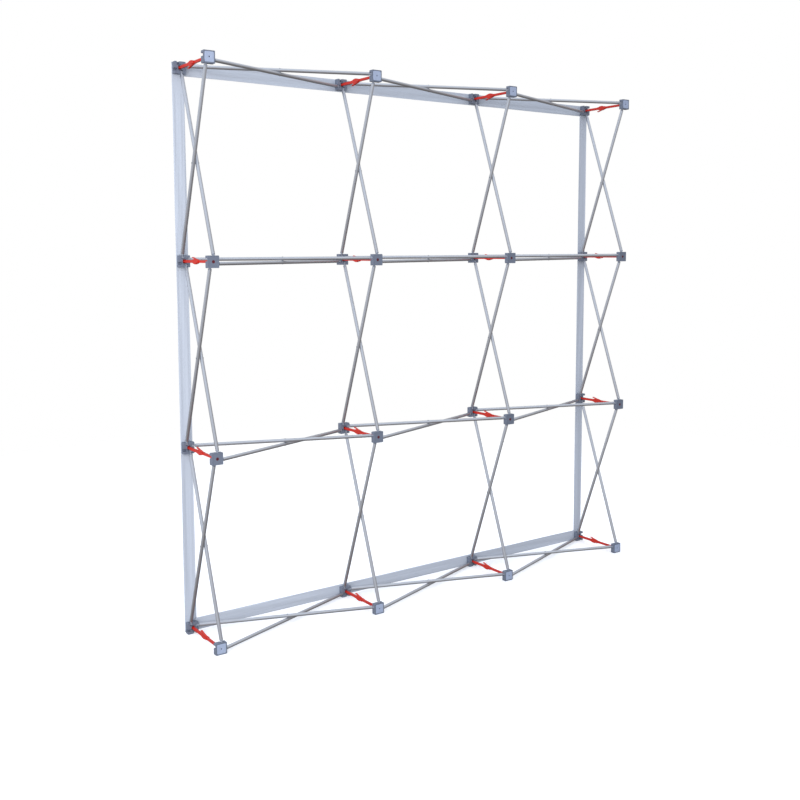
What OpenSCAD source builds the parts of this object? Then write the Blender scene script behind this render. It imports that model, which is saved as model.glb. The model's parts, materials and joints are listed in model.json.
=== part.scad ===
// Pop up display backwall: a three by three folding frame, locked open.
// Millimetres. X runs along the wall, Y through its depth, Z is up.
// The origin is under the middle of the frame, on the surface it stands on.
// The near layer of hubs faces -Y and the far layer faces +Y. Rows count from the top down,
// and columns from -X to +X. One bay lies between two neighbouring hubs.

/* [Frame] */
// Distance between the centres of two neighbouring hubs
pitch = 740; // [600:10:900]
// Depth between the outer faces of the near and the far hubs
depth = 279; // [255:1:330]

/* [Hub] */
// Side of a hub's square face
hub_w = 46.5; // [44:0.5:60]
// Depth of a hub, from its outer face to its open inner face
hub_t = 21; // [19.5:0.5:26]
// Thickness of a hub's outer plate
plate_t = 5; // [4.5:0.25:6]
// Radius of a hub's upright edges
hub_corner_r = 2.5; // [1:0.25:5]
// Side of the shallow square recess in a hub's face
recess_w = 38; // [34:0.5:40]
// Depth of that recess
recess_t = 0.8; // [0.4:0.1:1.2]
// Distance from a hub's centre to the axis of a tube's pin
pin_reach = 15.5; // [15:0.25:17.5]
// Distance from a hub's outer face to the axis of every pin
pin_back = 13; // [12:0.25:14]
// Diameter of the pins that hold the tubes
tube_pin_d = 3; // [2:0.25:3.5]
// Side of the square pocket in a hub's centre
pocket_w = 15.2; // [14:0.1:16]

/* [Tubes] */
// Outside diameter of a tube
tube_d = 14; // [12:0.5:16]
// Wall thickness of a tube
tube_wall = 1; // [0.75:0.25:2]
// Space between the two tubes of a crossing pair
tube_gap = 1; // [0.6:0.1:2]
// Diameter of the end fitting outside its tube
tip_d = 10; // [8:0.5:10.5]
// Diameter of the end fitting's neck, between its eye and its collar
neck_d = 9; // [7:0.5:9.5]
// Length of the end fitting's neck that shows between a hub's side and the collar
neck_out = 4.25; // [4:0.25:40]
// Thickness of the end fitting's collar
collar_t = 2; // [1.5:0.5:6]
// Length of the end fitting's plug inside the tube
plug_l = 24; // [15:1:40]
// Diameter of the rivet where two tubes cross
rivet_d = 4; // [3:0.25:5]
// Diameter of that rivet's heads
rivet_head_d = 7; // [6:0.5:10]
// Thickness of that rivet's heads
rivet_head_t = 1; // [0.75:0.25:3]

/* [Locks] */
// Distance from a hook arm's pin to the cross bar that it hooks over
hook_reach = 122; // [114:1:132]
// Thickness of a hook arm, along its pin
hook_t = 8; // [6:0.5:8]
// Height of a hook arm's shank, inside its hub
shank_h = 7; // [6:0.25:7.5]
// Height of a hook arm's root, outside its hub
root_h = 11; // [8:0.5:11]
// Height of a hook arm's head, below and above its middle line
head_h = 11; // [9:0.5:12]
// Height of the end of a hook arm's jaw, below and above its middle line
nose_h = 6; // [5:0.5:8]
// Length of a hook arm's jaw, past its mouth
jaw_t = 10; // [6:0.5:12]
// Length of the finger tab, from its heel on the head to the end of its round tip
tab_l = 29; // [22:1:32]
// Height of the finger tab's tip above the middle line
tab_h = 17; // [16:0.5:20]
// Diameter of the pin that a hook arm turns on
hook_pin_d = 3; // [2:0.25:3.5]
// Diameter of the cross bar in a catch arm's fork
bar_d = 6; // [5:0.25:7]
// Thickness of each tine of that fork
tine_t = 3.5; // [2.5:0.25:4]
// Thickness of the wall round the cross bar, at the end of each tine
tine_wall = 1.5; // [1:0.25:2.5]
// Height of a catch arm
catch_h = 10; // [7:0.5:10]
// Thickness of a catch arm, along the cross bar
catch_t = 8; // [6:0.5:10]
// Diameter of the shank of a lock's screw
screw_d = 4; // [3:0.25:5]
// Diameter of that screw's head
screw_head_d = 12; // [8:0.5:13]
// Thickness of that screw's head
screw_head_t = 2; // [1:0.25:2.5]

/* [Band and pads] */
// Width of the fabric band
band_w = 51; // [40:1:60]
// Thickness of the fabric band
band_t = 1.5; // [0.8:0.1:3]
// Distance that the upright runs reach past the hubs' centres
band_side = 26; // [24:0.5:30]
// Distance that the top run reaches above the hubs' centres
band_top = 23; // [20:0.5:26]
// Height of the bottom run's lower edge above the ground
band_lift = 4; // [2:0.5:8]
// Distance that a pad or a fastener patch stands out of its recess
pad_proud = 0.8; // [0.4:0.1:2]
// Diameter of the hole in a pad, over the screw
pad_hole_d = 5; // [3:0.5:8]

/* [Fits] */
// Radial clearance of a pin in its hole
pin_fit = 0.05; // [0.02:0.01:0.1]
// Clearance beside a part that drops into a pocket or tube
slip_fit = 0.1; // [0.05:0.05:0.2]
// Clearance on each side of a part that swings in a slot
swing_fit = 0.5; // [0.3:0.1:0.8]

/* [Hidden] */
bays = 3;
hubs_a_side = bays + 1;
top_row = 1;
near = -1;
far = 1;
smooth = 48;
eps = 0.01;

// Pieces that turn or slide next to each other
tube_offset = (tube_d + tube_gap) / 2;
slot_w = tip_d + 2 * swing_fit;
slot_end = pin_reach - tip_d / 2 - swing_fit;
pin_grip = 4;
eye_r = 4;
lug_t = 3.2;
lug_x = hook_t / 2 + slip_fit;
pad_w = recess_w - 4 * slip_fit;
base_w = pocket_w - 2 * slip_fit;
base_floor = 3;
screw_seat = recess_t + screw_head_t + slip_fit;
screw_l = plate_t + base_floor - screw_seat - slip_fit;

// The scissor pairs: pins, lean and length
pin_depth = depth - 2 * pin_back;
pin_span = pitch - 2 * pin_reach;
lean = atan(pin_depth / pin_span);
member_l = norm([pin_depth, pin_span]);
tip_l = hub_w / 2 - pin_reach + neck_out;
tube_start = tip_l + collar_t;

// The outer face of each layer, with the whole depth centred on the origin
band_back = pad_proud + pin_fit + band_t;
near_y = -(depth + band_back - pad_proud) / 2;
far_y = near_y + depth;
mid_y = (near_y + far_y) / 2;
frame_half = pitch * bays / 2;

// The lock: hook arm pinned in the far hub, catch arm fixed in the near one
hook_pin_y = far_y - pin_back;
bar_y = hook_pin_y - hook_reach;
mouth_r = bar_d / 2 + 1.2 * swing_fit;
jaw_end = hook_reach + mouth_r + jaw_t;
fork_floor = 5;
fork_gap = hook_t / 2 + swing_fit;
fork_w = 2 * (fork_gap + tine_t);
fork_h = bar_d + 2 * tine_wall;
fork_root = jaw_end - hook_reach + 4 * swing_fit;
hook_swing = 45;
shank_rise = shank_h / 2 / cos(hook_swing);
relief_depth = pin_back + (pocket_w / 2 - shank_rise) / tan(hook_swing) - swing_fit;
relief_half = (hub_t - pin_back) * tan(hook_swing) + shank_rise + swing_fit;

// The hook arm's outline: a root that stays clear of the hub as it swings, and a head
root_start = (hub_t - pin_back + 3 * swing_fit) / sin(hook_swing) + root_h / 2;
root_shoulder = (root_h - shank_h) / 2;
head_peak = hook_reach - 13;
head_start = head_peak - 30;
head_steps = 22;
tab_foot = head_peak - 8;
tab_heel = head_peak + 3;
tab_tip_r = 2;
tab_slope = 19;
tab_steps = 8;
tab_tip = [tab_heel - (tab_l - tab_tip_r) * cos(tab_slope), tab_h - tab_tip_r];

// Colours
hub_grey = [0.55, 0.60, 0.68];
aluminium = [0.75, 0.76, 0.78];
tip_grey = [0.80, 0.83, 0.88];
steel = [0.66, 0.66, 0.68];
lock_red = [0.85, 0.16, 0.10];
dark_red = [0.45, 0.08, 0.10];
pad_lilac = [0.74, 0.78, 0.90];
band_blue = [0.76, 0.81, 0.87];

function hub_x(column) = (column - 1) * pitch - frame_half;
function hub_z(row) = hub_w / 2 + (hubs_a_side - row) * pitch;

// Puts a piece drawn on a hub's outer face, which looks along -Y, on a hub of either layer
module at_hub(layer, row, column) {
    translate([hub_x(column), layer == near ? near_y : far_y, hub_z(row)])
        rotate([0, 0, layer == near ? 0 : 180])
            children();
}

module at_row(layer, row) {
    for (column = [1 : hubs_a_side])
        at_hub(layer, row, column)
            children();
}

module at_layer(layer) {
    for (row = [1 : hubs_a_side])
        at_row(layer, row)
            children();
}

// A block of depth `to - from`, measured back from a hub's outer face
module block(width, from, to, height = 0) {
    tall = height == 0 ? width : height;
    translate([-width / 2, from, -tall / 2])
        cube([width, to - from, tall]);
}

// A round bar or hole along +Y, from one depth to another
module rod(diameter, from, to) {
    translate([0, from, 0])
        rotate([-90, 0, 0])
            cylinder(h = to - from, d = diameter, $fn = smooth);
}

module rounded_plate(width, thickness, corner_r) {
    inner = width - 2 * corner_r;
    rotate([-90, 0, 0])
        linear_extrude(thickness)
            union() {
                square([width, inner], center = true);
                square([inner, width], center = true);
                for (x = [-inner / 2, inner / 2], y = [-inner / 2, inner / 2])
                    translate([x, y])
                        circle(r = corner_r, $fn = smooth);
            }
}

// The slot and the pin of one side of a hub, drawn for its right side.
// The pin goes in from below, crosses the slot and ends in the wall above it.
module tube_slot() {
    translate([slot_end, plate_t, -tube_offset - slot_w / 2])
        cube([hub_w, hub_t, slot_w]);
}

module tube_pin(diameter, below = 0, above = 0) {
    low = -hub_w / 2 - below;
    high = -tube_offset + slot_w / 2 + pin_grip + above;
    translate([pin_reach, pin_back, low])
        cylinder(h = high - low, d = diameter, $fn = smooth);
}

// Quarter turns from a hub's right side: 0 right, 1 bottom, 2 left, 3 top
module on_sides(turns) {
    for (turn = turns)
        rotate([0, 90 * turn, 0])
            children();
}

// The sides of a hub that carry a tube. A far hub is turned round, so its right is the wall's left.
function tube_sides(layer, row, column) = [
    for (turn = [0 : 3])
        let (
            to_right = layer == near ? turn == 0 : turn == 2,
            to_left = layer == near ? turn == 2 : turn == 0
        )
            if ((to_right && column < hubs_a_side) || (to_left && column > 1)
                || (turn == 1 && row < hubs_a_side) || (turn == 3 && row > 1))
                turn
];

module hub() {
    difference() {
        rounded_plate(hub_w, hub_t, hub_corner_r);
        block(recess_w, -eps, recess_t);
        rod(screw_head_d + 2 * slip_fit, 0, screw_seat);
        rod(screw_d + 2 * pin_fit, 0, plate_t + eps);
        block(pocket_w, plate_t, hub_t + eps);
        block(hook_t + 2 * swing_fit, relief_depth, hub_t + eps, 2 * relief_half);
        on_sides([0 : 3]) {
            tube_slot();
            tube_pin(tube_pin_d + 2 * pin_fit, eps, slip_fit);
        }
    }
}

module near_hubs(row) {
    color(hub_grey)
        at_row(near, row)
            hub();
}

module far_hubs(row) {
    color(hub_grey)
        at_row(far, row)
            hub();
}

module tube_pins(layer) {
    color(steel)
        for (row = [1 : hubs_a_side], column = [1 : hubs_a_side])
            at_hub(layer, row, column)
                on_sides(tube_sides(layer, row, column))
                    tube_pin(tube_pin_d);
}

// One member of a scissor pair: it runs from a near pin at the top to a far pin at the bottom
module along_member() {
    translate([-tube_offset, 0, 0])
        rotate([lean, 0, 0])
            children();
}

module member_tube() {
    length = member_l - 2 * tube_start;
    difference() {
        cylinder(h = length, d = tube_d, center = true, $fn = smooth);
        cylinder(h = length + 2 * eps, d = tube_d - 2 * tube_wall, center = true, $fn = smooth);
        rotate([0, 90, 0])
            cylinder(h = 2 * tube_d, d = rivet_d + 2 * pin_fit, center = true, $fn = smooth);
    }
}

module member_tip() {
    translate([0, 0, member_l / 2])
        difference() {
            union() {
                rotate([0, 90, 0])
                    cylinder(h = tip_d, d = tip_d, center = true, $fn = smooth);
                translate([0, 0, -tip_l])
                    cylinder(h = tip_l, d = neck_d, $fn = smooth);
                translate([0, 0, -tube_start])
                    cylinder(h = collar_t, d = tube_d, $fn = smooth);
                translate([0, 0, -tube_start - plug_l])
                    cylinder(h = plug_l, d = tube_d - 2 * tube_wall - 2 * slip_fit, $fn = smooth);
            }
            rotate([0, 90, 0])
                cylinder(h = 2 * tip_d, d = tube_pin_d + 2 * pin_fit, center = true, $fn = smooth);
        }
}

// Both members of a pair, each drawn in its own direction
module pair() {
    for (turn = [0, 180])
        rotate([0, 0, turn])
            along_member()
                children();
}

module member_tips() {
    member_tip();
    mirror([0, 0, 1])
        member_tip();
}

// Places a scissor pair in an upright or a level bay
module upright_bay(row, column) {
    translate([hub_x(column), mid_y, (hub_z(row) + hub_z(row + 1)) / 2])
        children();
}

module level_bay(row, column) {
    translate([(hub_x(column) + hub_x(column + 1)) / 2, mid_y, hub_z(row)])
        rotate([0, -90, 0])
            children();
}

module all_upright_bays() {
    for (column = [1 : hubs_a_side], row = [1 : bays])
        upright_bay(row, column)
            children();
}

module all_level_bays() {
    for (row = [1 : hubs_a_side], column = [1 : bays])
        level_bay(row, column)
            children();
}

module upright_tubes(column) {
    color(aluminium)
        for (row = [1 : bays])
            upright_bay(row, column)
                pair()
                    member_tube();
}

module level_tubes(row) {
    color(aluminium)
        for (column = [1 : bays])
            level_bay(row, column)
                pair()
                    member_tube();
}

module upright_tips() {
    color(tip_grey)
        all_upright_bays()
            pair()
                member_tips();
}

module level_tips() {
    color(tip_grey)
        all_level_bays()
            pair()
                member_tips();
}

module crossing_rivet() {
    half = tube_offset + tube_d / 2 + pin_fit;
    rotate([0, 90, 0])
        cylinder(h = 2 * (half + rivet_head_t), d = rivet_d, center = true, $fn = smooth);
    for (side = [-1, 1])
        translate([side * (half + rivet_head_t / 2), 0, 0])
            rotate([0, 90, 0])
                cylinder(h = rivet_head_t, d = rivet_head_d, center = true, $fn = smooth);
}

module upright_rivets() {
    color(steel)
        all_upright_bays()
            crossing_rivet();
}

module level_rivets() {
    color(steel)
        all_level_bays()
            crossing_rivet();
}

module crossing_washer() {
    rotate([0, 90, 0])
        difference() {
            cylinder(h = tube_gap - 2 * pin_fit, d = rivet_head_d, center = true, $fn = smooth);
            cylinder(h = tube_gap, d = rivet_d + 2 * pin_fit, center = true, $fn = smooth);
        }
}

module washers() {
    color(tip_grey) {
        all_upright_bays()
            crossing_washer();
        all_level_bays()
            crossing_washer();
    }
}

// Half the height of the head: an even rise from the root to the peak, then a round fall to the nose
function head_half(distance) =
    let (
        rise = 180 * (distance - head_start) / (head_peak - head_start),
        fall = 90 * (distance - head_peak) / (jaw_end - head_peak)
    )
        distance < head_peak
            ? root_h / 2 + (head_h - root_h / 2) * (1 - cos(rise)) / 2
            : nose_h + (head_h - nose_h) * cos(fall);

// Half of a hook arm's outline without its finger tab, from its pin to its nose
function hook_outline() = [
    [0, shank_h / 2],
    [root_start, shank_h / 2],
    [root_start + root_shoulder, root_h / 2],
    for (step = [0 : head_steps])
        let (distance = head_start + (jaw_end - head_start) * step / head_steps)
            [distance, head_half(distance)]
];

// The same half with the finger tab let in, from its foot round its tip to its heel
function tab_outline() = concat(
    [for (point = hook_outline()) if (point.x < tab_foot) point],
    [[tab_foot, head_half(tab_foot)]],
    [
        for (step = [0 : tab_steps])
            let (angle = 270 - tab_slope - 180 * step / tab_steps)
                tab_tip + tab_tip_r * [cos(angle), sin(angle)]
    ],
    [[tab_heel, head_half(tab_heel)]],
    [for (point = hook_outline()) if (point.x > tab_heel) point]
);

// A hook arm lying on its side: distance from its pin along X, finger tab towards Y, mouth away
module hook_body() {
    plain = hook_outline();
    mirrored = [for (i = [len(plain) - 1 : -1 : 0]) [plain[i].x, -plain[i].y]];
    linear_extrude(hook_t)
        polygon(concat(tab_outline(), mirrored));
}

module hook_shape() {
    difference() {
        union() {
            cylinder(h = hook_t, r = eye_r, $fn = smooth);
            hook_body();
        }
        translate([hook_reach, 0, -eps]) {
            cylinder(h = hook_t + 2 * eps, r = mouth_r, $fn = smooth);
            translate([-mouth_r, -2 * head_h, 0])
                cube([2 * mouth_r, 2 * head_h, hook_t + 2 * eps]);
        }
        translate([0, 0, -eps])
            cylinder(h = hook_t + 2 * eps, d = hook_pin_d + 2 * pin_fit, $fn = smooth);
    }
}

module hook_arm(row, column) {
    upside_down = row == top_row ? 1 : 0;
    color(lock_red)
        translate([hub_x(column), hook_pin_y, hub_z(row)])
            mirror([0, 0, upside_down])
                rotate([90, 0, -90])
                    translate([0, 0, -hook_t / 2])
                        hook_shape();
}

module hook_base() {
    difference() {
        union() {
            block(base_w, plate_t, plate_t + base_floor);
            for (side = [-1, 1])
                translate([side * (lug_x + lug_t / 2), 0, 0]) {
                    block(lug_t, plate_t, pin_back, 2 * eye_r);
                    translate([0, pin_back, 0])
                        rotate([0, 90, 0])
                            cylinder(h = lug_t, r = eye_r, center = true, $fn = smooth);
                }
        }
        rod(screw_d + 2 * pin_fit, 0, plate_t + base_floor + eps);
        translate([0, pin_back, 0])
            rotate([0, 90, 0])
                cylinder(h = hub_w, d = hook_pin_d + 2 * pin_fit, center = true, $fn = smooth);
    }
}

module lock_bases() {
    color(lock_red)
        at_layer(far)
            hook_base();
}

module lock_pins() {
    color(steel)
        at_layer(far)
            translate([0, pin_back, 0])
                rotate([0, 90, 0])
                    cylinder(h = base_w - 2 * slip_fit, d = hook_pin_d, center = true, $fn = smooth);
}

module lock_screw() {
    rod(screw_head_d, recess_t, screw_seat - slip_fit);
    rod(screw_d, screw_seat - slip_fit - eps, screw_seat + screw_l);
}

module far_screws() {
    color(dark_red)
        at_layer(far)
            lock_screw();
}

module near_screws() {
    color(dark_red)
        at_layer(near)
            lock_screw();
}

// A catch arm: a base in the near hub, a plain bar, and a fork with the cross bar
module catch_arm() {
    bar = bar_y - near_y;
    root = bar - fork_root;
    difference() {
        union() {
            block(base_w, plate_t, pin_back);
            block(catch_t, pin_back - eps, root, catch_h);
            block(fork_w, root - fork_floor, root, fork_h);
            for (side = [-1, 1])
                translate([side * (fork_gap + tine_t / 2), 0, 0]) {
                    block(tine_t, root - eps, bar, fork_h);
                    translate([0, bar, 0])
                        rotate([0, 90, 0])
                            cylinder(h = tine_t, d = fork_h, center = true, $fn = smooth);
                }
            translate([0, bar, 0])
                rotate([0, 90, 0])
                    cylinder(h = fork_w - tine_t, d = bar_d, center = true, $fn = smooth);
        }
        rod(screw_d + 2 * pin_fit, 0, plate_t + base_floor + eps);
    }
}

module catch_arms(row) {
    color(lock_red)
        at_row(near, row)
            catch_arm();
}

module face_pad() {
    difference() {
        block(pad_w, -pad_proud, recess_t);
        rod(pad_hole_d, -pad_proud - eps, recess_t + eps);
    }
}

module face_pads(row) {
    color(pad_lilac)
        at_row(near, row)
            face_pad();
}

// The band is fastened to the twelve hubs of the edge
module patches() {
    color(pad_lilac)
        for (row = [1 : hubs_a_side], column = [1 : hubs_a_side])
            if (row == 1 || row == hubs_a_side || column == 1 || column == hubs_a_side)
                at_hub(far, row, column)
                    face_pad();
}

// The four runs meet at mitred corners, like a picture frame
band_half_x = frame_half + band_side;
band_high = hub_z(top_row) + band_top;
mitre_gap = 0.3;

module band_run(points) {
    color(band_blue)
        translate([0, far_y + band_back, 0])
            rotate([90, 0, 0])
                linear_extrude(band_t)
                    polygon(points);
}

module side_band(side) {
    outer = side * band_half_x;
    inner = side * (band_half_x - band_w);
    band_run([
        [outer, band_lift + mitre_gap], [outer, band_high - mitre_gap],
        [inner, band_high - band_w - mitre_gap], [inner, band_lift + band_w + mitre_gap]
    ]);
}

module level_band(edge, inward) {
    outer = band_half_x - mitre_gap;
    inner = outer - band_w;
    band_run([
        [-outer, edge], [outer, edge],
        [inner, edge + inward * band_w], [-inner, edge + inward * band_w]
    ]);
}

near_hubs(1);  // near_hubs_row_1
near_hubs(2);  // near_hubs_row_2
near_hubs(3);  // near_hubs_row_3
near_hubs(4);  // near_hubs_row_4
far_hubs(1);  // far_hubs_row_1
far_hubs(2);  // far_hubs_row_2
far_hubs(3);  // far_hubs_row_3
far_hubs(4);  // far_hubs_row_4
upright_tubes(1);  // upright_tubes_column_1
upright_tubes(2);  // upright_tubes_column_2
upright_tubes(3);  // upright_tubes_column_3
upright_tubes(4);  // upright_tubes_column_4
level_tubes(1);  // level_tubes_row_1
level_tubes(2);  // level_tubes_row_2
level_tubes(3);  // level_tubes_row_3
level_tubes(4);  // level_tubes_row_4
upright_tips();  // upright_tube_tips
level_tips();  // level_tube_tips
tube_pins(near);  // near_tube_pins
tube_pins(far);  // far_tube_pins
upright_rivets();  // upright_tube_rivets
level_rivets();  // level_tube_rivets
washers();  // tube_washers
hook_arm(1, 1);  // hook_arm_row_1_column_1
hook_arm(1, 2);  // hook_arm_row_1_column_2
hook_arm(1, 3);  // hook_arm_row_1_column_3
hook_arm(1, 4);  // hook_arm_row_1_column_4
hook_arm(2, 1);  // hook_arm_row_2_column_1
hook_arm(2, 2);  // hook_arm_row_2_column_2
hook_arm(2, 3);  // hook_arm_row_2_column_3
hook_arm(2, 4);  // hook_arm_row_2_column_4
hook_arm(3, 1);  // hook_arm_row_3_column_1
hook_arm(3, 2);  // hook_arm_row_3_column_2
hook_arm(3, 3);  // hook_arm_row_3_column_3
hook_arm(3, 4);  // hook_arm_row_3_column_4
hook_arm(4, 1);  // hook_arm_row_4_column_1
hook_arm(4, 2);  // hook_arm_row_4_column_2
hook_arm(4, 3);  // hook_arm_row_4_column_3
hook_arm(4, 4);  // hook_arm_row_4_column_4
lock_bases();  // hook_bases
far_screws();  // hook_base_screws
lock_pins();  // hook_pins
catch_arms(1);  // catch_arms_row_1
catch_arms(2);  // catch_arms_row_2
catch_arms(3);  // catch_arms_row_3
catch_arms(4);  // catch_arms_row_4
near_screws();  // catch_arm_screws
face_pads(1);  // face_pads_row_1
face_pads(4);  // face_pads_row_4
patches();  // band_patches
side_band(-1);  // band_left
side_band(1);  // band_right
level_band(band_high, -1);  // band_top_run
level_band(band_lift, 1);  // band_bottom_run
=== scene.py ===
"""A three by three folding display frame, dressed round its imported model.

Metres throughout. X runs along the wall, Y through its depth and Z is up. The near layer of hubs
faces -Y and the far layer +Y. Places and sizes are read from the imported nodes; what the scene
adds to them, such as an edge radius or a stitch, is a named value beside the piece it belongs to.
"""

import json
import math

import bmesh
import bpy
import numpy as np
from mathutils import Matrix, Vector


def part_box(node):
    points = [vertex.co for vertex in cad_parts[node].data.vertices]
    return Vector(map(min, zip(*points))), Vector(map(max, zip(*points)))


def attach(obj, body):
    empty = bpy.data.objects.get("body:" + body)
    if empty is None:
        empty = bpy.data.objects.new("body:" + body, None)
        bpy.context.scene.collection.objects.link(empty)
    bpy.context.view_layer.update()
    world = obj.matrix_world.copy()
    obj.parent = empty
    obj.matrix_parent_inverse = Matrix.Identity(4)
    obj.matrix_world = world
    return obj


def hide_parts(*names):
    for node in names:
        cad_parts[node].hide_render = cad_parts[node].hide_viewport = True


MM = 0.001
ROWS = range(1, 5)
COLUMNS = range(1, 5)
NEAR, FAR = -1.0, 1.0

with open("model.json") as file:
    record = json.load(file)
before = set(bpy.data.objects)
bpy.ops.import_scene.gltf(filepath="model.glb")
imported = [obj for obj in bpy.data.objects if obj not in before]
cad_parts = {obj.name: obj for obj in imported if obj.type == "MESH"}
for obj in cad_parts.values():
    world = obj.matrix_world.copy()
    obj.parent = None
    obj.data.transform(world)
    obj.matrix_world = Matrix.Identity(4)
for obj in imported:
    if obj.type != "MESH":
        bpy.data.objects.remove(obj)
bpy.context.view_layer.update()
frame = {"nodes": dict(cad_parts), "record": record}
body_of_node = {
    node: body
    for body, members in frame["record"]["behaviour"]["bodies"].items()
    for node in members
}


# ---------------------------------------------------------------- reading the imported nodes


def merged_mesh(node):
    """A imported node's points and triangles, with points that lie in one place made one."""
    mesh = frame["nodes"][node].data
    mesh.calc_loop_triangles()
    points = np.empty(len(mesh.vertices) * 3)
    mesh.vertices.foreach_get("co", points)
    points = points.reshape(-1, 3)
    corners = np.empty(len(mesh.loop_triangles) * 3, dtype=int)
    mesh.loop_triangles.foreach_get("vertices", corners)
    one_place = 1e-6
    cells = np.round(points / one_place).astype(int)
    _, first, group = np.unique(cells, axis=0, return_index=True, return_inverse=True)
    triangles = group.reshape(-1)[corners].reshape(-1, 3)
    whole = (triangles != np.roll(triangles, 1, axis=1)).all(axis=1)
    return points[first], triangles[whole]


def solids_of(node):
    """The points of each separate solid in a node, as a list of arrays.

    Every point takes the least label among the triangles it is in, again and again, until nothing
    changes; the points that end with one label are one solid."""
    points, triangles = merged_mesh(node)
    label = np.arange(len(points))
    while True:
        least = label[triangles].min(axis=1)
        grown = label.copy()
        np.minimum.at(grown, triangles.ravel(), np.repeat(least, 3))
        grown = grown[grown]
        if (grown == label).all():
            break
        label = grown
    return [points[label == one] for one in np.unique(label)]


def distance_from_line(points, foot, along):
    """How far each point lies from the line through foot in the direction `along`."""
    return np.linalg.norm(points - foot - np.outer((points - foot) @ along, along), axis=1)


def step_heights(points, foot, along):
    """The heights above foot at which a turned solid has points, to a hundredth of a millimetre."""
    return np.unique(np.round((points - foot) @ along, 5))


def round_bar(points, along=None):
    """The foot, direction, length and outer and inner radius of a straight round solid.

    Without a direction given, it is the one in which the points spread most."""
    if along is None:
        along = np.linalg.svd(points - points.mean(axis=0), full_matrices=False)[2][0]
    along = np.asarray(along, dtype=float)
    height = points @ along
    end_slice = 0.2 * MM
    at_foot = height < height.min() + end_slice
    foot = points[at_foot].mean(axis=0)
    top = points[height > height.max() - end_slice].mean(axis=0)
    radius = distance_from_line(points, foot, along)[at_foot]
    return foot, along, float((top - foot) @ along), float(radius.max()), float(radius.min())


# ---------------------------------------------------------------- surfaces and pieces

# Points of a piece that lie closer than this are one
ONE_POINT = 1e-7
# Faces that meet at less than this are one flat face, and an edge that turns by more than SHARP
# gets its radius
FLAT = math.radians(0.5)
SHARP = math.radians(34)


def rework(mesh, edit):
    """Opens a mesh as a bmesh, runs edit on it and writes it back."""
    shape = bmesh.new()
    shape.from_mesh(mesh)
    edit(shape)
    shape.to_mesh(mesh)
    shape.free()


def ring_quads(rings, around, looped=False):
    """Quads between each closed ring and the next. `looped` joins the last ring to the first."""
    ring = np.arange(rings if looped else rings - 1)[:, None]
    spot = np.arange(around)[None, :]
    after, beside = (ring + 1) % rings, (spot + 1) % around
    corners = [
        ring * around + spot, ring * around + beside,
        after * around + beside, after * around + spot,
    ]
    return np.stack(corners, axis=-1).reshape(-1, 4)


def directions_across(along):
    """Two directions square to `along` and to each other, right-handed with it."""
    nearly_upright = 0.9
    helper = np.array([0.0, 0.0, 1.0] if abs(along[2]) < nearly_upright else [1.0, 0.0, 0.0])
    across = np.cross(helper, along)
    across /= np.linalg.norm(across)
    return across, np.cross(along, across)


def turned(profile, foot, along, around, looped=False, carve=None):
    """A profile of (height, radius) pairs turned about the line from foot along `along`.

    A point is foot + height * along + radius * (cos t * across + sin t * other), at `around`
    angles t. The profile runs up the outside, so that faces point outwards. carve(x, y, height)
    says by how much a point is lowered."""
    height, radius = np.array(profile, dtype=float).T
    angle = np.linspace(0, 2 * np.pi, around, endpoint=False)
    x = radius[:, None] * np.cos(angle)
    y = radius[:, None] * np.sin(angle)
    z = np.repeat(height[:, None], around, axis=1)
    if carve is not None:
        z = z - carve(x, y, z)
    own = np.stack([x, y, z], axis=-1).reshape(-1, 3)
    across, other = directions_across(along)
    points = foot + own @ np.array([across, other, along])
    return points, ring_quads(len(profile), around, looped), own


def joined(shapes):
    """Several (points, faces, own coordinates) shapes as one."""
    starts = np.cumsum([0] + [len(points) for points, _, _ in shapes[:-1]])
    return (
        np.concatenate([points for points, _, _ in shapes]),
        np.concatenate([faces + start for (_, faces, _), start in zip(shapes, starts)]),
        np.concatenate([own for _, _, own in shapes]),
    )


def piece(name, points, faces, finish, nodes=(), body="frame", own=None):
    """A new object of the frame: its mesh, finish, body, material slot and the nodes it stands for.

    `own` is each point's place in its piece's own axes, kept as the attribute own_place, which
    a finish reads where its pattern follows the piece."""
    mesh = bpy.data.meshes.new(name)
    mesh.from_pydata(points.tolist(), [], faces.tolist())
    if own is not None:
        attribute = mesh.attributes.new("own_place", "FLOAT_VECTOR", "POINT")
        attribute.data.foreach_set("vector", np.asarray(own, dtype=np.float32).ravel())
    rework(mesh, lambda shape: bmesh.ops.remove_doubles(shape, verts=shape.verts, dist=ONE_POINT))
    mesh.polygons.foreach_set("use_smooth", np.ones(len(mesh.polygons), dtype=bool))
    mesh.materials.append(finish)
    made = bpy.data.objects.new(name, mesh)
    bpy.context.scene.collection.objects.link(made)
    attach(made, body)
    if nodes:
        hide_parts(*nodes)
    return made


def redrawn(node, suffix, shape_of, finish):
    """One piece that stands for a node: shape_of(points) draws each of its separate solids."""
    points, faces, own = joined([shape_of(solid) for solid in solids_of(node)])
    return piece(node + suffix, points, faces, finish, [node], own=own)


def join_flats(mesh):
    """Joins the triangles of each flat face, so that an edge radius runs evenly round it."""
    rework(mesh, lambda shape: bmesh.ops.dissolve_limit(
        shape, angle_limit=FLAT, use_dissolve_boundaries=False,
        verts=shape.verts, edges=shape.edges,
    ))


def eased_copy(node, edge_radius, finish, segments=2):
    """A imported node's own shape with its sharp edges rounded, as a mould or tumbler leaves them."""
    points, triangles = merged_mesh(node)
    made = piece(node + "_eased", points, triangles, finish, [node], body_of_node[node])
    join_flats(made.data)
    bevel = made.modifiers.new("edge_radius", "BEVEL")
    bevel.use_clamp_overlap = False
    bevel.width = edge_radius
    bevel.segments = segments
    bevel.limit_method = "ANGLE"
    bevel.angle_limit = SHARP
    bevel.harden_normals = True
    return made


def outward_faces(made):
    """Turns every face of a closed piece outwards."""
    rework(made.data, lambda shape: bmesh.ops.recalc_face_normals(shape, faces=shape.faces))


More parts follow.
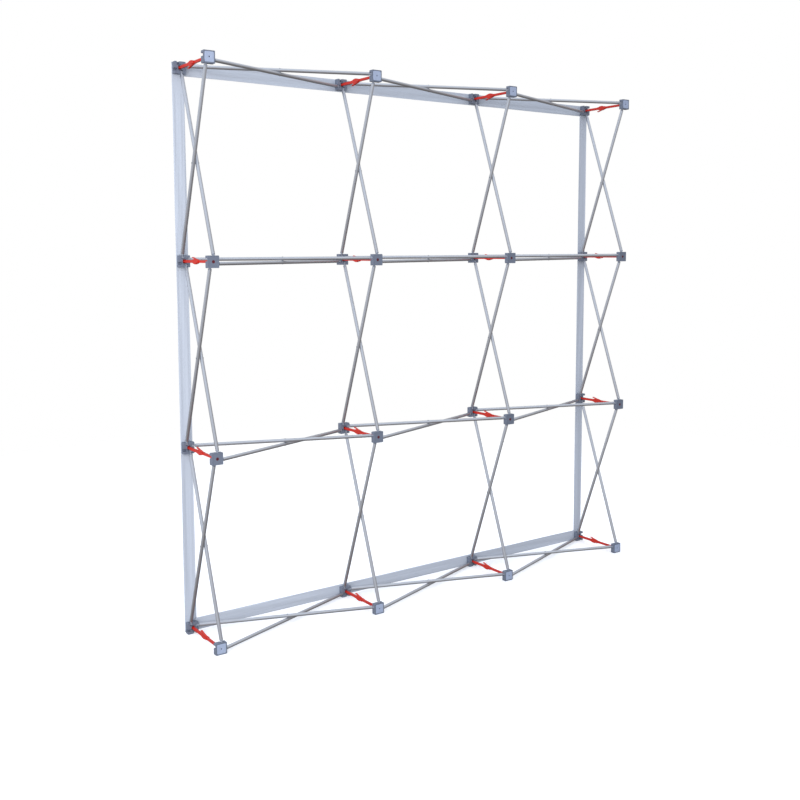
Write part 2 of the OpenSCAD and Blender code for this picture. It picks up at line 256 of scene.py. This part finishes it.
def lay_uv(made):
    """A UV map from own_place: metres along the run, and metres across it."""
    mesh = made.data
    own = np.empty(len(mesh.vertices) * 3, dtype=np.float32)
    mesh.attributes["own_place"].data.foreach_get("vector", own)
    corners = np.empty(len(mesh.loops), dtype=int)
    mesh.loops.foreach_get("vertex_index", corners)
    layer = mesh.uv_layers.new(name="run")
    layer.uv.foreach_set("vector", own.reshape(-1, 3)[corners, :2].ravel())


def keep_node(node, finish):
    """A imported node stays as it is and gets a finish."""
    for place in frame["nodes"][node].material_slots:
        place.link = "OBJECT"
        place.material = finish


# ---------------------------------------------------------------- finishes

# A Mix node's colour sockets, by number because their names repeat for every type that it mixes
MIX_FACTOR, MIX_FIRST, MIX_SECOND, MIX_RESULT = 0, 6, 7, 2


def tone(red, green, blue):
    """A colour given as 0 to 255 on a screen, as the linear values that a shader takes."""
    share = np.array([red, green, blue]) / 255
    linear = np.where(share <= 0.04045, share / 12.92, ((share + 0.055) / 1.055) ** 2.4)
    return (*linear.tolist(), 1.0)


class Nodes:
    """A node tree, with a short way to add a node and join it up."""

    def __init__(self, tree):
        self.tree = tree

    def add(self, kind, joins=None, **settings):
        node = self.tree.nodes.new("ShaderNode" + kind)
        for name, value in settings.items():
            setattr(node, name, value)
        self.join(node, joins or {})
        return node

    def join(self, node, joins):
        """Links each socket named in joins to another node's socket, or gives it a value."""
        for socket, value in joins.items():
            if isinstance(value, bpy.types.NodeSocket):
                self.tree.links.new(value, node.inputs[socket])
            else:
                node.inputs[socket].default_value = value

    def noise(self, place, scale=1.0, detail=3.0, roughness=0.5):
        joins = {"Vector": place, "Scale": scale, "Detail": detail, "Roughness": roughness}
        return self.add("TexNoise", joins).outputs["Fac"]

    def between(self, amount, low, high, start=0.0, end=1.0):
        """Maps start to end onto low to high."""
        joins = {"Value": amount, "From Min": start, "From Max": end, "To Min": low, "To Max": high}
        return self.add("MapRange", joins).outputs["Result"]

    def sharpened(self, amount, start, end):
        """0 below start, 1 above end, and a smooth rise between them."""
        joins = {"Value": amount, "From Min": start, "From Max": end}
        return self.add("MapRange", joins, interpolation_type="SMOOTHSTEP").outputs["Result"]

    def mixed(self, amount, first, second):
        """A colour that goes from first to second as amount goes from 0 to 1."""
        joins = {MIX_FACTOR: amount, MIX_FIRST: first, MIX_SECOND: second}
        return self.add("Mix", joins, data_type="RGBA").outputs[MIX_RESULT]

    def mean(self, first, second):
        total = self.add("Math", {0: first, 1: second}, operation="ADD").outputs[0]
        return self.add("Math", {0: total, 1: 0.5}, operation="MULTIPLY").outputs[0]

    def raised(self, height, distance, strength):
        joins = {"Height": height, "Distance": distance, "Strength": strength}
        return self.add("Bump", joins).outputs["Normal"]

    def stretched(self, place, waves):
        """Coordinates scaled to `waves` a metre, so that a pattern runs longer in one direction."""
        return self.add("VectorMath", {0: place, 1: waves}, operation="MULTIPLY").outputs["Vector"]


class Finish(Nodes):
    """One material: its tree, its shader, and the coordinates that its patterns lie in."""

    def __init__(self, name):
        self.material = bpy.data.materials.new(name)
        self.material.use_nodes = True
        super().__init__(self.material.node_tree)
        self.shader = self.tree.nodes["Principled BSDF"]

    def object_place(self):
        return self.add("TexCoord").outputs["Object"]

    def uv_place(self):
        return self.add("TexCoord").outputs["UV"]

    def own_place(self):
        return self.add("Attribute", attribute_name="own_place").outputs["Vector"]


def moulded_plastic(name, light, dark, gloss=0.42, mottle=9.0):
    """Injection-moulded plastic: a faint flow mottle, a fine spark-eroded grain and rubbed patches.

    light and dark are the two ends of the mottle, mottle its scale and gloss the mean roughness.
    Rubbed patches are a shade lighter and smoother than the rest."""
    made = Finish(name)
    place = made.object_place()
    flow = made.noise(place, scale=mottle, detail=4.0, roughness=0.6)
    wear = made.noise(place, scale=60.0, detail=5.0, roughness=0.65)
    rubbed = made.sharpened(wear, start=0.52, end=0.72)
    speckle = made.noise(place, scale=1400.0, detail=2.0)
    pits = made.noise(place, scale=420.0)
    colour = made.mixed(flow, dark, light)
    colour = made.mixed(made.between(rubbed, low=0.0, high=0.22), colour, light)
    rough_end, smooth_end = gloss + 0.1, gloss - 0.06
    made.join(made.shader, {
        "Base Color": colour,
        "Roughness": made.between(made.mean(rubbed, pits), low=rough_end, high=smooth_end),
        "Normal": made.raised(speckle, distance=0.06 * MM, strength=0.55),
        "IOR": 1.5,
    })
    return made.material


def drawn_aluminium(name):
    """Anodised aluminium tube: die lines along it, a satin bloom, and faint rub marks round it.

    The die lines are noise in the tube's own axes, stretched a hundredfold along it."""
    made = Finish(name)
    place = made.own_place()
    die_lines = made.noise(made.stretched(place, waves=(1500.0, 1500.0, 6.0)))
    bloom = made.noise(made.stretched(place, waves=(30.0, 30.0, 9.0)), detail=4.0)
    wear = made.noise(made.stretched(place, waves=(90.0, 90.0, 700.0)), detail=4.0, roughness=0.7)
    rubs = made.sharpened(wear, start=0.60, end=0.78)
    dull, satin = tone(210, 212, 217), tone(225, 227, 232)
    line_grey, rubbed_bright = tone(185, 187, 191), tone(236, 238, 243)
    colour = made.mixed(bloom, dull, satin)
    colour = made.mixed(made.between(die_lines, low=0.0, high=0.35), colour, line_grey)
    colour = made.mixed(made.between(rubs, low=0.0, high=0.25), colour, rubbed_bright)
    made.join(made.shader, {
        "Base Color": colour,
        "Metallic": 1.0,
        "Roughness": made.between(made.mean(die_lines, bloom), low=0.34, high=0.50),
        "Normal": made.raised(die_lines, distance=0.012 * MM, strength=0.8),
    })
    return made.material


def bright_steel(name):
    """Zinc-plated steel: a cool bright metal with a soft crystalline cloud and fine scratches."""
    made = Finish(name)
    place = made.object_place()
    cloud = made.noise(place, scale=240.0, detail=4.0, roughness=0.6)
    scratches = made.noise(made.stretched(place, waves=(2600.0, 500.0, 2600.0)), detail=2.0)
    made.join(made.shader, {
        "Base Color": made.mixed(cloud, tone(150, 153, 160), tone(196, 199, 204)),
        "Metallic": 1.0,
        "Roughness": made.between(cloud, low=0.24, high=0.42),
        "Normal": made.raised(scratches, distance=0.01 * MM, strength=0.6),
    })
    return made.material


def band_cloth(name):
    """Woven polyester: a plain weave, soft streaks of painted light and shade along the run, and a
    light fibre sheen.

    The UV map is metres along the run and across it. Warp and weft are two waves, square to each
    other, and the painted streaks are noise stretched along the run, between a lit and a shaded tone."""
    made = Finish(name)
    place = made.uv_place()
    # The wave texture turns by 20 radians a unit, and one wave of it is a thread over and one under
    threads_a_metre = 1250.0
    waves = {"Vector": place, "Scale": threads_a_metre * math.pi / 20}
    weft = made.add("TexWave", waves, bands_direction="X").outputs["Fac"]
    warp = made.add("TexWave", waves, bands_direction="Y").outputs["Fac"]
    weave = made.add("Math", {0: weft, 1: warp}, operation="MULTIPLY").outputs[0]
    lit_and_shaded_streaks = made.noise(made.stretched(place, waves=(1.6, 110.0, 1.0)), detail=4.0, roughness=0.55)
    slubs = made.noise(made.stretched(place, waves=(40.0, 900.0, 1.0)))
    cloud = made.noise(place, scale=5.0)
    # shaded and lit are painted shade and painted light: the streaks along the run mix the two
    shaded, lit = tone(174, 182, 196), tone(204, 211, 223)
    clouded, slub_pale = tone(185, 192, 205), tone(214, 219, 229)
    colour = made.mixed(lit_and_shaded_streaks, shaded, lit)
    colour = made.mixed(made.between(cloud, low=0.0, high=0.5), colour, clouded)
    colour = made.mixed(made.between(slubs, low=0.0, high=0.25), colour, slub_pale)
    made.join(made.shader, {
        "Base Color": colour,
        "Roughness": 0.78,
        "Sheen Weight": 0.25,
        "Sheen Roughness": 0.45,
        "Sheen Tint": tone(208, 215, 228),
        "Normal": made.raised(made.mean(weave, slubs), distance=0.12 * MM, strength=0.8),
    })
    return made.material


def loop_pad(name, light, dark):
    """Brushed loop pile on a pad: a matted fibre surface with a soft sheen and pressed patches."""
    made = Finish(name)
    place = made.object_place()
    fibres = made.noise(place, scale=1700.0, detail=4.0, roughness=0.75)
    pressed = made.noise(place, scale=95.0)
    colour = made.mixed(pressed, dark, light)
    colour = made.mixed(made.between(fibres, low=0.0, high=0.35), colour, dark)
    made.join(made.shader, {
        "Base Color": colour,
        "Roughness": 0.85,
        "Sheen Weight": 0.3,
        "Sheen Roughness": 0.5,
        "Sheen Tint": light,
        "Normal": made.raised(fibres, distance=0.16 * MM, strength=0.9),
    })
    return made.material


def hook_tape(name):
    """Moulded hook tape: rows of tiny stiff hooks on a woven ground, as a square array of bumps."""
    made = Finish(name)
    place = made.object_place()
    rows_of_hooks = {"Vector": place, "Scale": 900.0, "Randomness": 0.35}
    hooks = made.add("TexVoronoi", rows_of_hooks).outputs["Distance"]
    cloud = made.noise(place, scale=120.0)
    made.join(made.shader, {
        "Base Color": made.mixed(cloud, tone(168, 176, 196), tone(198, 205, 222)),
        "Roughness": 0.6,
        "Normal": made.raised(hooks, distance=0.25 * MM, strength=0.9),
    })
    return made.material


hub_plastic = moulded_plastic("hub_plastic", tone(118, 126, 143), tone(97, 104, 120))
tip_plastic = moulded_plastic("tip_plastic", tone(158, 164, 176), tone(136, 142, 155), gloss=0.36)
lock_red = moulded_plastic(
    "lock_red", tone(212, 48, 30), tone(182, 30, 18), gloss=0.38, mottle=30.0
)
screw_red = moulded_plastic(
    "screw_dark_red", tone(104, 34, 44), tone(72, 22, 32), gloss=0.3, mottle=200.0
)
screw_blue = moulded_plastic(
    "screw_dark_blue", tone(44, 48, 74), tone(28, 31, 52), gloss=0.3, mottle=200.0
)
tube_metal = drawn_aluminium("tube_aluminium")
pin_steel = bright_steel("pin_steel")
band_fabric = band_cloth("band_fabric")
pad_pile = loop_pad("pad_lilac", tone(176, 188, 213), tone(152, 164, 189))
patch_tape = hook_tape("patch_hook_tape")
band_thread = moulded_plastic(
    "band_thread", tone(192, 200, 214), tone(170, 179, 194), gloss=0.5, mottle=300.0
)


# ---------------------------------------------------------------- hubs, tips and locks

# The radius on the edges of each moulding. The recess in a hub's face is only 0.8 mm deep.
HUB_EDGE = 0.35 * MM
TIP_EDGE = 0.3 * MM
CATCH_ARM_EDGE = 0.5 * MM
HOOK_ARM_EDGE = 0.9 * MM


def dress_hubs():
    for layer in ("near", "far"):
        for row in ROWS:
            eased_copy(f"{layer}_hubs_row_{row}", HUB_EDGE, hub_plastic)


def dress_tips():
    for direction in ("upright", "level"):
        eased_copy(f"{direction}_tube_tips", TIP_EDGE, tip_plastic)


def dress_locks():
    for row in ROWS:
        eased_copy(f"catch_arms_row_{row}", CATCH_ARM_EDGE, lock_red)
        for column in COLUMNS:
            arm = f"hook_arm_row_{row}_column_{column}"
            eased_copy(arm, HOOK_ARM_EDGE, lock_red, segments=3)


# ---------------------------------------------------------------- tubes, rivets and screws

# The face of a rivet's or screw's head, with its crown, lies within this of the end
HEAD_FACE = 0.5 * MM


def tube_shape(points):
    """One drawn tube: its outer wall, a rolled lip at each end, and its bore."""
    foot, along, length, outer, inner = round_bar(points)
    lip = 0.3 * MM
    roll = 0.3 * lip
    profile = [
        (lip, outer), (length - lip, outer), (length - roll, outer - roll), (length, outer - lip),
        (length, inner + lip), (length - lip, inner), (lip, inner),
        (0.0, inner + lip), (0.0, outer - lip), (roll, outer - roll),
    ]
    return turned(profile, foot, along, around=40, looped=True)


def dress_tubes():
    """Every tube, each with another stretch of the drawn pattern along it."""
    to_next_tube, to_next_node = 3.1, 0.7
    nodes = [f"upright_tubes_column_{column}" for column in COLUMNS]
    nodes += [f"level_tubes_row_{row}" for row in ROWS]
    for number, node in enumerate(nodes):
        shapes = []
        for spot, solid in enumerate(solids_of(node)):
            points, faces, own = tube_shape(solid)
            shift = to_next_tube * spot + to_next_node * number
            shapes.append((points, faces, own + [0.0, 0.0, shift]))
        points, faces, own = joined(shapes)
        piece(node + "_drawn", points, faces, tube_metal, [node], own=own)


def domed(radius, rise, steps=5):
    """The (height, radius) pairs of a low dome: height = rise * (1 - share^2), rim to middle."""
    share = np.linspace(1, 0, steps)
    return [(rise * (1 - s * s), radius * s) for s in share]


def rivet_shape(points):
    """A rivet with two low domed heads, each with a rounded rim, and its shank between them."""
    foot, along, length, head, _ = round_bar(points)
    heights = step_heights(points, foot, along)
    head_t = float(heights[heights > HEAD_FACE].min())
    shank = float(distance_from_line(points, foot, along).min())
    rise = 0.55 * head_t
    rim = 0.2 * MM
    dome = domed(head - rim, rise)
    upper = [(length - rise + h, r) for h, r in dome]
    lower = [(rise - h, r) for h, r in reversed(dome)]
    profile = [
        *lower, (rise + rim, head), (head_t, head), (head_t, shank),
        (length - head_t, shank), (length - head_t, head), (length - rise - rim, head), *upper,
    ]
    return turned(profile, foot, along, around=24)


def dress_rivets():
    for node in ("upright_tube_rivets", "level_tube_rivets"):
        redrawn(node, "_domed", rivet_shape, pin_steel)


def cross_recess(x, y, height):
    """A driver's cross in a screw's face: two crossed slots that narrow and rise to their ends.

    The depth at a point is the slot's depth, less what it has risen, times two ramps from 0 to 1:
    one up from the slot's wall and one in from its end."""
    reach, half_slot, depth = 2.7 * MM, 0.55 * MM, 1.1 * MM
    wide, narrowing, rise = 1.25, 0.4, 0.45
    wall_ramp, end_ramp = 0.25 * MM, 0.7 * MM
    from_middle = np.hypot(x, y)
    to_slot = np.minimum(np.abs(x), np.abs(y))
    slot = half_slot * (wide - narrowing * from_middle / reach)
    wall = np.clip((slot - to_slot) / wall_ramp, 0, 1)
    end = np.clip((reach - from_middle) / end_ramp, 0, 1)
    on_face = height > -HEAD_FACE
    return depth * wall * end * (1 - rise * from_middle / reach) * on_face


def screw_shape(points, outward):
    """A pan-head screw: a shank, a head with a rounded rim, and a low crowned face with a cross."""
    foot, along, length, shank, _ = round_bar(points, (0.0, outward, 0.0))
    head = float(distance_from_line(points, foot, along).max())
    heights = step_heights(points, foot, along)
    head_t = length - float(heights[heights < length - HEAD_FACE].max())
    crown, rim = 0.15 * MM, 0.45 * MM
    roll = 0.3 * rim
    point_l, point_r = 0.5 * MM, 0.8 * shank
    face = np.linspace(head - rim, 0, 16)
    profile = [
        (-length, 0.0), (-length, point_r), (-length + point_l, shank), (-head_t, shank),
        (-head_t, head), (-rim - crown, head), (-roll - crown, head - roll),
        *[(-crown * (r / head) ** 2, r) for r in face],
    ]
    return turned(profile, foot + length * along, along, around=48, carve=cross_recess)


def finish_under_pads(made):
    """The screws in the first and last rows, which show only through the pads' holes, get a dark blue
    finish in place of their dark red one.
    """
    made.data.materials.append(screw_blue)
    centre = np.empty(len(made.data.polygons) * 3)
    made.data.polygons.foreach_get("center", centre)
    height = centre[2::3]
    lowest_row_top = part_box("face_pads_row_4")[1][2]
    top_row_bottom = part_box("face_pads_row_1")[0][2]
    padded = (height < lowest_row_top) | (height > top_row_bottom)
    made.data.polygons.foreach_set("material_index", padded.astype(int))


def dress_screws():
    for node, outward in (("hook_base_screws", FAR), ("catch_arm_screws", NEAR)):
        made = redrawn(
            node, "_cross_head", lambda solid: screw_shape(solid, outward),
            screw_red,
        )
        if outward == NEAR:
            finish_under_pads(made)


def finish_small_nodes():
    """Pins and hook bases sit inside the hubs and washers between the tubes: all stay as packed."""
    for node in ("near_tube_pins", "far_tube_pins", "hook_pins"):
        keep_node(node, pin_steel)
    keep_node("tube_washers", tip_plastic)
    keep_node("hook_bases", lock_red)


# ---------------------------------------------------------------- pads and hook patches


def pad_shape(points, outward):
    """A square pad with rounded corners, a soft rim, a slight crown and a hole in its middle.

    It is a closed ring: at each angle the section runs from the hole, over the face, round the
    rim and back underneath. The outline is a superellipse of power 9, whose radius at angle t is
    half / (|cos t|^9 + |sin t|^9)^(1/9)."""
    low, high = points.min(axis=0), points.max(axis=0)
    middle, half = (low + high) / 2, (high[0] - low[0]) / 2
    front = (high[1] - low[1]) / 2
    hole_r, crown, rim = 2.5 * MM, 0.25 * MM, 0.35 * MM
    roll = 0.3 * rim
    around, power, gathered_at_corners = 96, 9, 0.12
    angle = np.linspace(0, 2 * np.pi, around, endpoint=False)
    angle = angle + gathered_at_corners * np.sin(4 * angle + np.pi) / 4
    outline = half / (abs(np.cos(angle)) ** power + abs(np.sin(angle)) ** power) ** (1 / power)
    # Each point of the section: its share of the way from hole to outline, a step out, its height
    section = [
        (0.0, 0.0, -front), (0.0, 0.0, front - rim), (0.0, roll, front - roll), (0.0, rim, front),
        (0.35, 0.0, front + 0.7 * crown), (0.7, 0.0, front + crown),
        (0.9, 0.0, front + 0.6 * crown), (1.0, -rim, front),
        (1.0, -roll, front - roll), (1.0, 0.0, front - rim), (1.0, 0.0, -front),
    ]
    share, extra, height = np.array(section).T
    radius = hole_r + share[:, None] * (outline - hole_r) + extra[:, None]
    x = radius * np.cos(angle)
    z = radius * np.sin(angle)
    y = np.repeat(height[:, None], around, axis=1)
    own = np.stack([x, y, z], axis=-1).reshape(-1, 3)
    points = middle + own * [1.0, outward, 1.0]
    faces = ring_quads(len(section), around, looped=True)
    return points, faces if outward == FAR else faces[:, ::-1], own


def dress_pads():
    for row in (ROWS[0], ROWS[-1]):
        redrawn(
            f"face_pads_row_{row}", "_pile", lambda solid: pad_shape(solid, NEAR),
            pad_pile,
        )
    redrawn(
        "band_patches", "_tape", lambda solid: pad_shape(solid, FAR), patch_tape
    )


# ---------------------------------------------------------------- the fabric band

CLOTH_T = 0.7 * MM
HEM_W = 9.0 * MM
HEM_T = 1.3 * MM
HEM_SLOPE = 1.2 * MM
SEAM_DENT = 0.35 * MM
SEAM_HALF_W = 0.7 * MM
# The edges are rounded over EDGE_ROUND, starting at a share of it that leaves them a thickness
EDGE_ROUND = 0.5 * MM
EDGE_START = 0.02

STITCH_INSET = 7.0 * MM
STITCH_PITCH = 4.0 * MM
STITCH_L = 3.0 * MM
STITCH_W = 0.6 * MM
STITCH_RISE = 0.22 * MM
STITCH_FROM_END = 3.0 * MM

# The cloth lies still for HELD to each side of a hub's middle and is free FREED further on
HELD = 30 * MM
FREED = 170 * MM
# The rates are in radians a metre along the run
SWELL = 1.6 * MM
SWELL_RATE = 2.3
WAVER = 0.5 * MM
WAVER_RATE = 9.0
DRIFT_RATE = 2.1
DRIFT_SWAY = 0.8
SWAY_RATE = 3.7
# Each ripple's height, its waves across the run, and how far it turns for each radian of drift
RIPPLES = ((0.55 * MM, 1.6, 2.0), (0.28 * MM, 3.7, -3.1))


def hub_stations(axis):
    """Where the hubs' middles lie along X (axis 0) or Z (axis 2), to a tenth of a millimetre."""
    hubs = [solid for row in ROWS for solid in solids_of(f"far_hubs_row_{row}")]
    middles = [(hub.min(axis=0) + hub.max(axis=0))[axis] / 2 for hub in hubs]
    return np.unique(np.round(middles, 4))


class BandRun:
    """One run of the band: where a point (distance along, distance across, side) of it lies.

    At a distance v across, the run reaches from v to length - v along its outer edge, so that it
    ends in a mitre. It lies on the hubs and swells and ripples a little between them: the ripples
    are sines across the run whose phase drifts slowly along it."""

    def __init__(self, node, corner, heading, inward, stations, phase):
        low, high = (np.array(v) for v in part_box(node))
        self.node, self.heading, self.inward = node, np.array(heading), np.array(inward)
        self.outward = np.array([0.0, FAR, 0.0])
        self.corner = np.where(np.array(corner) > 0, high, low)
        self.corner[1] = (low[1] + high[1]) / 2
        extent = high - low
        self.length = float(abs(extent @ self.heading))
        self.width = float(abs(extent @ self.inward))
        self.stations = np.abs(stations - self.corner @ np.abs(self.heading))
        self.phase = phase

    def free(self, along):
        """0 where a hub holds the cloth and 1 well away from it, by the curve s^2 * (3 - 2 s)."""
        to_hub = np.abs(along[..., None] - self.stations).min(axis=-1)
        share = np.clip((to_hub - HELD) / FREED, 0, 1)
        return share * share * (3 - 2 * share)

    def standing_out(self, along, share):
        """How far the cloth swells and ripples out of its plane, at a share of the way across."""
        sway = DRIFT_SWAY * np.sin(SWAY_RATE * along + self.phase)
        drift = self.phase + DRIFT_RATE * along + sway
        swell = SWELL * np.sin(np.pi * share) * np.sin(SWELL_RATE * along + 2 * self.phase)
        ripple = sum(
            height * np.sin(2 * np.pi * (waves * share) + turn * drift)
            for height, waves, turn in RIPPLES
        )
        return self.free(along) * (swell + ripple)

    def half_thickness(self, across):
        """Half the cloth's thickness: more in the hems, less at the seams, round at the edges."""
        edge = np.minimum(across, self.width - across)
        fold = np.clip((HEM_W - edge) / HEM_SLOPE, 0, 1)
        seam = np.exp(-(((edge - STITCH_INSET) / SEAM_HALF_W) ** 2))
        round_off = np.sqrt(np.clip(edge / EDGE_ROUND, EDGE_START, 1))
        return 0.5 * (CLOTH_T + (HEM_T - CLOTH_T) * fold - SEAM_DENT * seam) * round_off

    def place(self, along, across, side):
        """Points of the cloth: side is -1 on its near face, 1 on its far face, 0 in its middle.

        The edges waver a little within the plane, by a slow sine along the run."""
        share = across / self.width
        wave = np.sin(WAVER_RATE * along + 4 * self.phase)
        waver = self.free(along) * WAVER * wave * (1 - 2 * share)
        flat = self.corner + along[..., None] * self.heading
        flat = flat + (across + waver)[..., None] * self.inward
        out = self.standing_out(along, share) + side * self.half_thickness(across)
        return flat + out[..., None] * self.outward

    def cloth(self):
        """The closed cloth: across the far face, back across the near face, and along the run.

        Its lines across lie closest over the rounded edges and the seams."""
        hem = np.array([0.0, 0.15, 0.4, 1.0, 2.5, 4.5, 6.2, 7.0, 7.8, 8.4, 9.6, 12.0]) * MM
        past_hem, step = 15 * MM, 12 * MM
        middle = np.linspace(past_hem, self.width - past_hem, num=7)
        across = np.concatenate([hem, middle, self.width - hem[::-1]])
        steps = int(self.length / step)
        share = np.linspace(0, 1, steps)[:, None]
        side = np.concatenate([np.full(len(across), FAR), np.full(len(across), NEAR)])
        across = np.concatenate([across, across[::-1]])[None, :]
        along = across + share * (self.length - 2 * across)
        across_all = np.broadcast_to(across, along.shape)
        points = self.place(along, across_all, side[None, :])
        own = np.stack([along, across_all, np.zeros_like(along)], axis=-1)
        around = across.shape[1]
        spot = np.arange(around // 2 - 1)
        first = np.stack([spot, around - 1 - spot, around - 2 - spot, spot + 1], axis=-1)
        last = first[:, ::-1] + (steps - 1) * around
        faces = np.concatenate([ring_quads(steps, around), first, last])
        return points.reshape(-1, 3), faces, own.reshape(-1, 3)

    def stitches(self):
        """Rows of stitches along both hems and on both faces, each a slim six-pointed bead."""
        ends = np.array([-0.5, 0.5, 0.0, 0.0, 0.0, 0.0]) * STITCH_L
        sides = np.array([0.0, 0.0, -0.5, 0.5, 0.0, 0.0]) * STITCH_W
        lift = np.array([-0.1, -0.1, 0.1, 0.1, 1.0, -1.0]) * STITCH_RISE
        beads = []
        for across in (STITCH_INSET, self.width - STITCH_INSET):
            start = across + STITCH_FROM_END
            middle = np.arange(start, self.length - across - STITCH_FROM_END, STITCH_PITCH)
            along = middle[:, None] + ends
            for side in (NEAR, FAR):
                spot = self.place(along, across + np.broadcast_to(sides, along.shape), side)
                beads.append(spot + (side * lift)[..., None] * self.outward)
        points = np.concatenate([bead.reshape(-1, 3) for bead in beads])
        tent = np.array([
            [0, 2, 4], [2, 1, 4], [1, 3, 4], [3, 0, 4],
            [2, 0, 5], [1, 2, 5], [3, 1, 5], [0, 3, 5],
        ])
        count = len(points) // len(ends)
        faces = (np.arange(count)[:, None, None] * len(ends) + tent).reshape(-1, 3)
        return points, faces


def dress_band():
    level, upright = hub_stations(0), hub_stations(2)
    x, z = (1.0, 0.0, 0.0), (0.0, 0.0, 1.0)
    minus_x, minus_z = (-1.0, 0.0, 0.0), (0.0, 0.0, -1.0)
    runs = [
        BandRun("band_left", (-1, 0, -1), z, x, upright, phase=0.4),
        BandRun("band_right", (1, 0, -1), z, minus_x, upright, phase=1.9),
        BandRun("band_top_run", (-1, 0, 1), x, minus_z, level, phase=3.1),
        BandRun("band_bottom_run", (-1, 0, -1), x, z, level, phase=4.6),
    ]
    for run in runs:
        points, faces, own = run.cloth()
        name = run.node + "_cloth"
        made = piece(name, points, faces, band_fabric, [run.node], own=own)
        outward_faces(made)
        lay_uv(made)
        points, faces = run.stitches()
        thread = piece(run.node + "_stitches", points, faces, band_thread)
        outward_faces(thread)


# ---------------------------------------------------------------- floor, light and camera


def lay_floor():
    """A round pale floor at the frame's foot that fades out into the white surround.

    It glows a little, so that only the soft contact shadows are darker than the surround, and it
    throws no light back at the frame."""
    radius, rings, around = 6.0, 24, 96
    angle = np.linspace(0, 2 * np.pi, around, endpoint=False)
    reach = np.linspace(0.02, 1, rings)[:, None] * radius
    flat = np.zeros((rings, around))
    points = np.stack([reach * np.cos(angle), reach * np.sin(angle), flat], axis=-1)
    faces = ring_quads(rings, around)[:, ::-1].tolist() + [list(range(around))]
    mesh = bpy.data.meshes.new("floor")
    mesh.from_pydata(points.reshape(-1, 3).tolist(), [], faces)
    made = Finish("pale_floor")
    place = made.object_place()
    distance = made.add("VectorMath", {0: place}, operation="LENGTH").outputs["Value"]
    fade = made.sharpened(distance, start=1.8, end=4.5)
    speck = made.noise(place, scale=3.0, detail=5.0)
    made.join(made.shader, {
        "Base Color": made.mixed(speck, tone(232, 234, 238), tone(240, 242, 246)),
        "Roughness": 0.7,
        "Specular IOR Level": 0.2,
        "Emission Color": (1.0, 1.0, 1.0, 1.0),
        "Emission Strength": 0.34,
    })
    clear = made.add("BsdfTransparent").outputs[0]
    blend = made.add("MixShader", {0: fade, 1: made.shader.outputs[0], 2: clear}).outputs[0]
    made.join(made.tree.nodes["Material Output"], {"Surface": blend})
    mesh.materials.append(made.material)
    floor = bpy.data.objects.new("floor", mesh)
    bpy.context.scene.collection.objects.link(floor)
    floor.visible_diffuse = False
    floor.visible_glossy = False


def hang_light(name, size, energy, place, aim):
    """A round soft light at `place` that faces `aim` and is itself neither seen nor mirrored."""
    light = bpy.data.lights.new(name, "AREA")
    light.shape = "DISK"
    light.size = size
    light.energy = energy
    lamp = bpy.data.objects.new(name, light)
    lamp.location = place
    lamp.rotation_mode = "QUATERNION"
    lamp.rotation_quaternion = (Vector(aim) - Vector(place)).to_track_quat("-Z", "Y")
    lamp.visible_camera = False
    lamp.visible_glossy = False
    bpy.context.scene.collection.objects.link(lamp)


def light_studio():
    """A surround, bright and cool above and dim and warm below, a soft box and a back fill.

    The camera sees plain white. Any other ray gets a level from 0.15 to 1 that rises with the dot
    product of its direction and `brightest`, and sets both the strength and the tint."""
    world = bpy.data.worlds.new("surround")
    bpy.context.scene.world = world
    world.use_nodes = True
    world.node_tree.nodes.clear()
    sky = Nodes(world.node_tree)
    brightest = Vector((-0.42, -0.20, 0.88)).normalized()
    warm, cool = (1.04, 0.955, 0.90, 1.0), (0.885, 0.96, 1.075, 1.0)
    white = (1.0, 1.0, 1.0, 1.0)
    toward = {0: sky.add("TexCoord").outputs["Generated"], 1: brightest}
    facing = sky.add("VectorMath", toward, operation="DOT_PRODUCT").outputs["Value"]
    level = sky.between(facing, low=0.15, high=1.0, start=-0.75, end=0.75)
    tint = sky.mixed(level, warm, cool)
    soft = sky.add("Background", {"Color": tint, "Strength": level}).outputs[0]
    plain = sky.add("Background", {"Color": white, "Strength": 1.0}).outputs[0]
    seen = sky.add("LightPath").outputs["Is Camera Ray"]
    pick = sky.add("MixShader", {0: seen, 1: soft, 2: plain}).outputs[0]
    sky.add("OutputWorld", {"Surface": pick})

    hang_light("soft_box", size=3.6, energy=135, place=(-3.5, -2.7, 1.8), aim=(-0.3, 0.0, 1.0))
    hang_light("back_fill", size=3.0, energy=70, place=(2.6, 3.6, 2.2), aim=(0.2, 0.0, 1.1))


def set_camera():
    """The photograph's viewpoint, fitted to the hubs: from the near side, left of the frame.

    The fit's directions are right, ahead and up; a camera's are right, up and back."""
    photo_side = 800
    focal_px = 990.8
    middle_right_px, middle_down_px = 29.7, 53.4
    stand = (-2.7121, -3.4920, 1.5455)
    yaw, pitch, roll = (math.radians(a) for a in (-34.478, -5.601, 0.315))
    aim = Matrix.Rotation(yaw, 3, "Z") @ Matrix.Rotation(pitch, 3, "X")
    aim = aim @ Matrix.Rotation(roll, 3, "Y")
    turn = Matrix((aim.col[0], aim.col[2], -aim.col[1])).transposed()
    lens = bpy.data.cameras.new("viewpoint")
    lens.sensor_width = 36.0
    lens.lens = lens.sensor_width * focal_px / photo_side
    lens.shift_x = middle_right_px / photo_side
    lens.shift_y = -middle_down_px / photo_side
    lens.clip_start = 0.05
    camera = bpy.data.objects.new("viewpoint", lens)
    camera.matrix_world = Matrix.Translation(stand) @ turn.to_4x4()
    bpy.context.scene.collection.objects.link(camera)
    bpy.context.scene.camera = camera


dress_hubs()
dress_tips()
dress_locks()
dress_tubes()
dress_rivets()
dress_screws()
finish_small_nodes()
dress_pads()
dress_band()
lay_floor()
light_studio()
set_camera()
bpy.context.scene.view_settings.view_transform = "Standard"
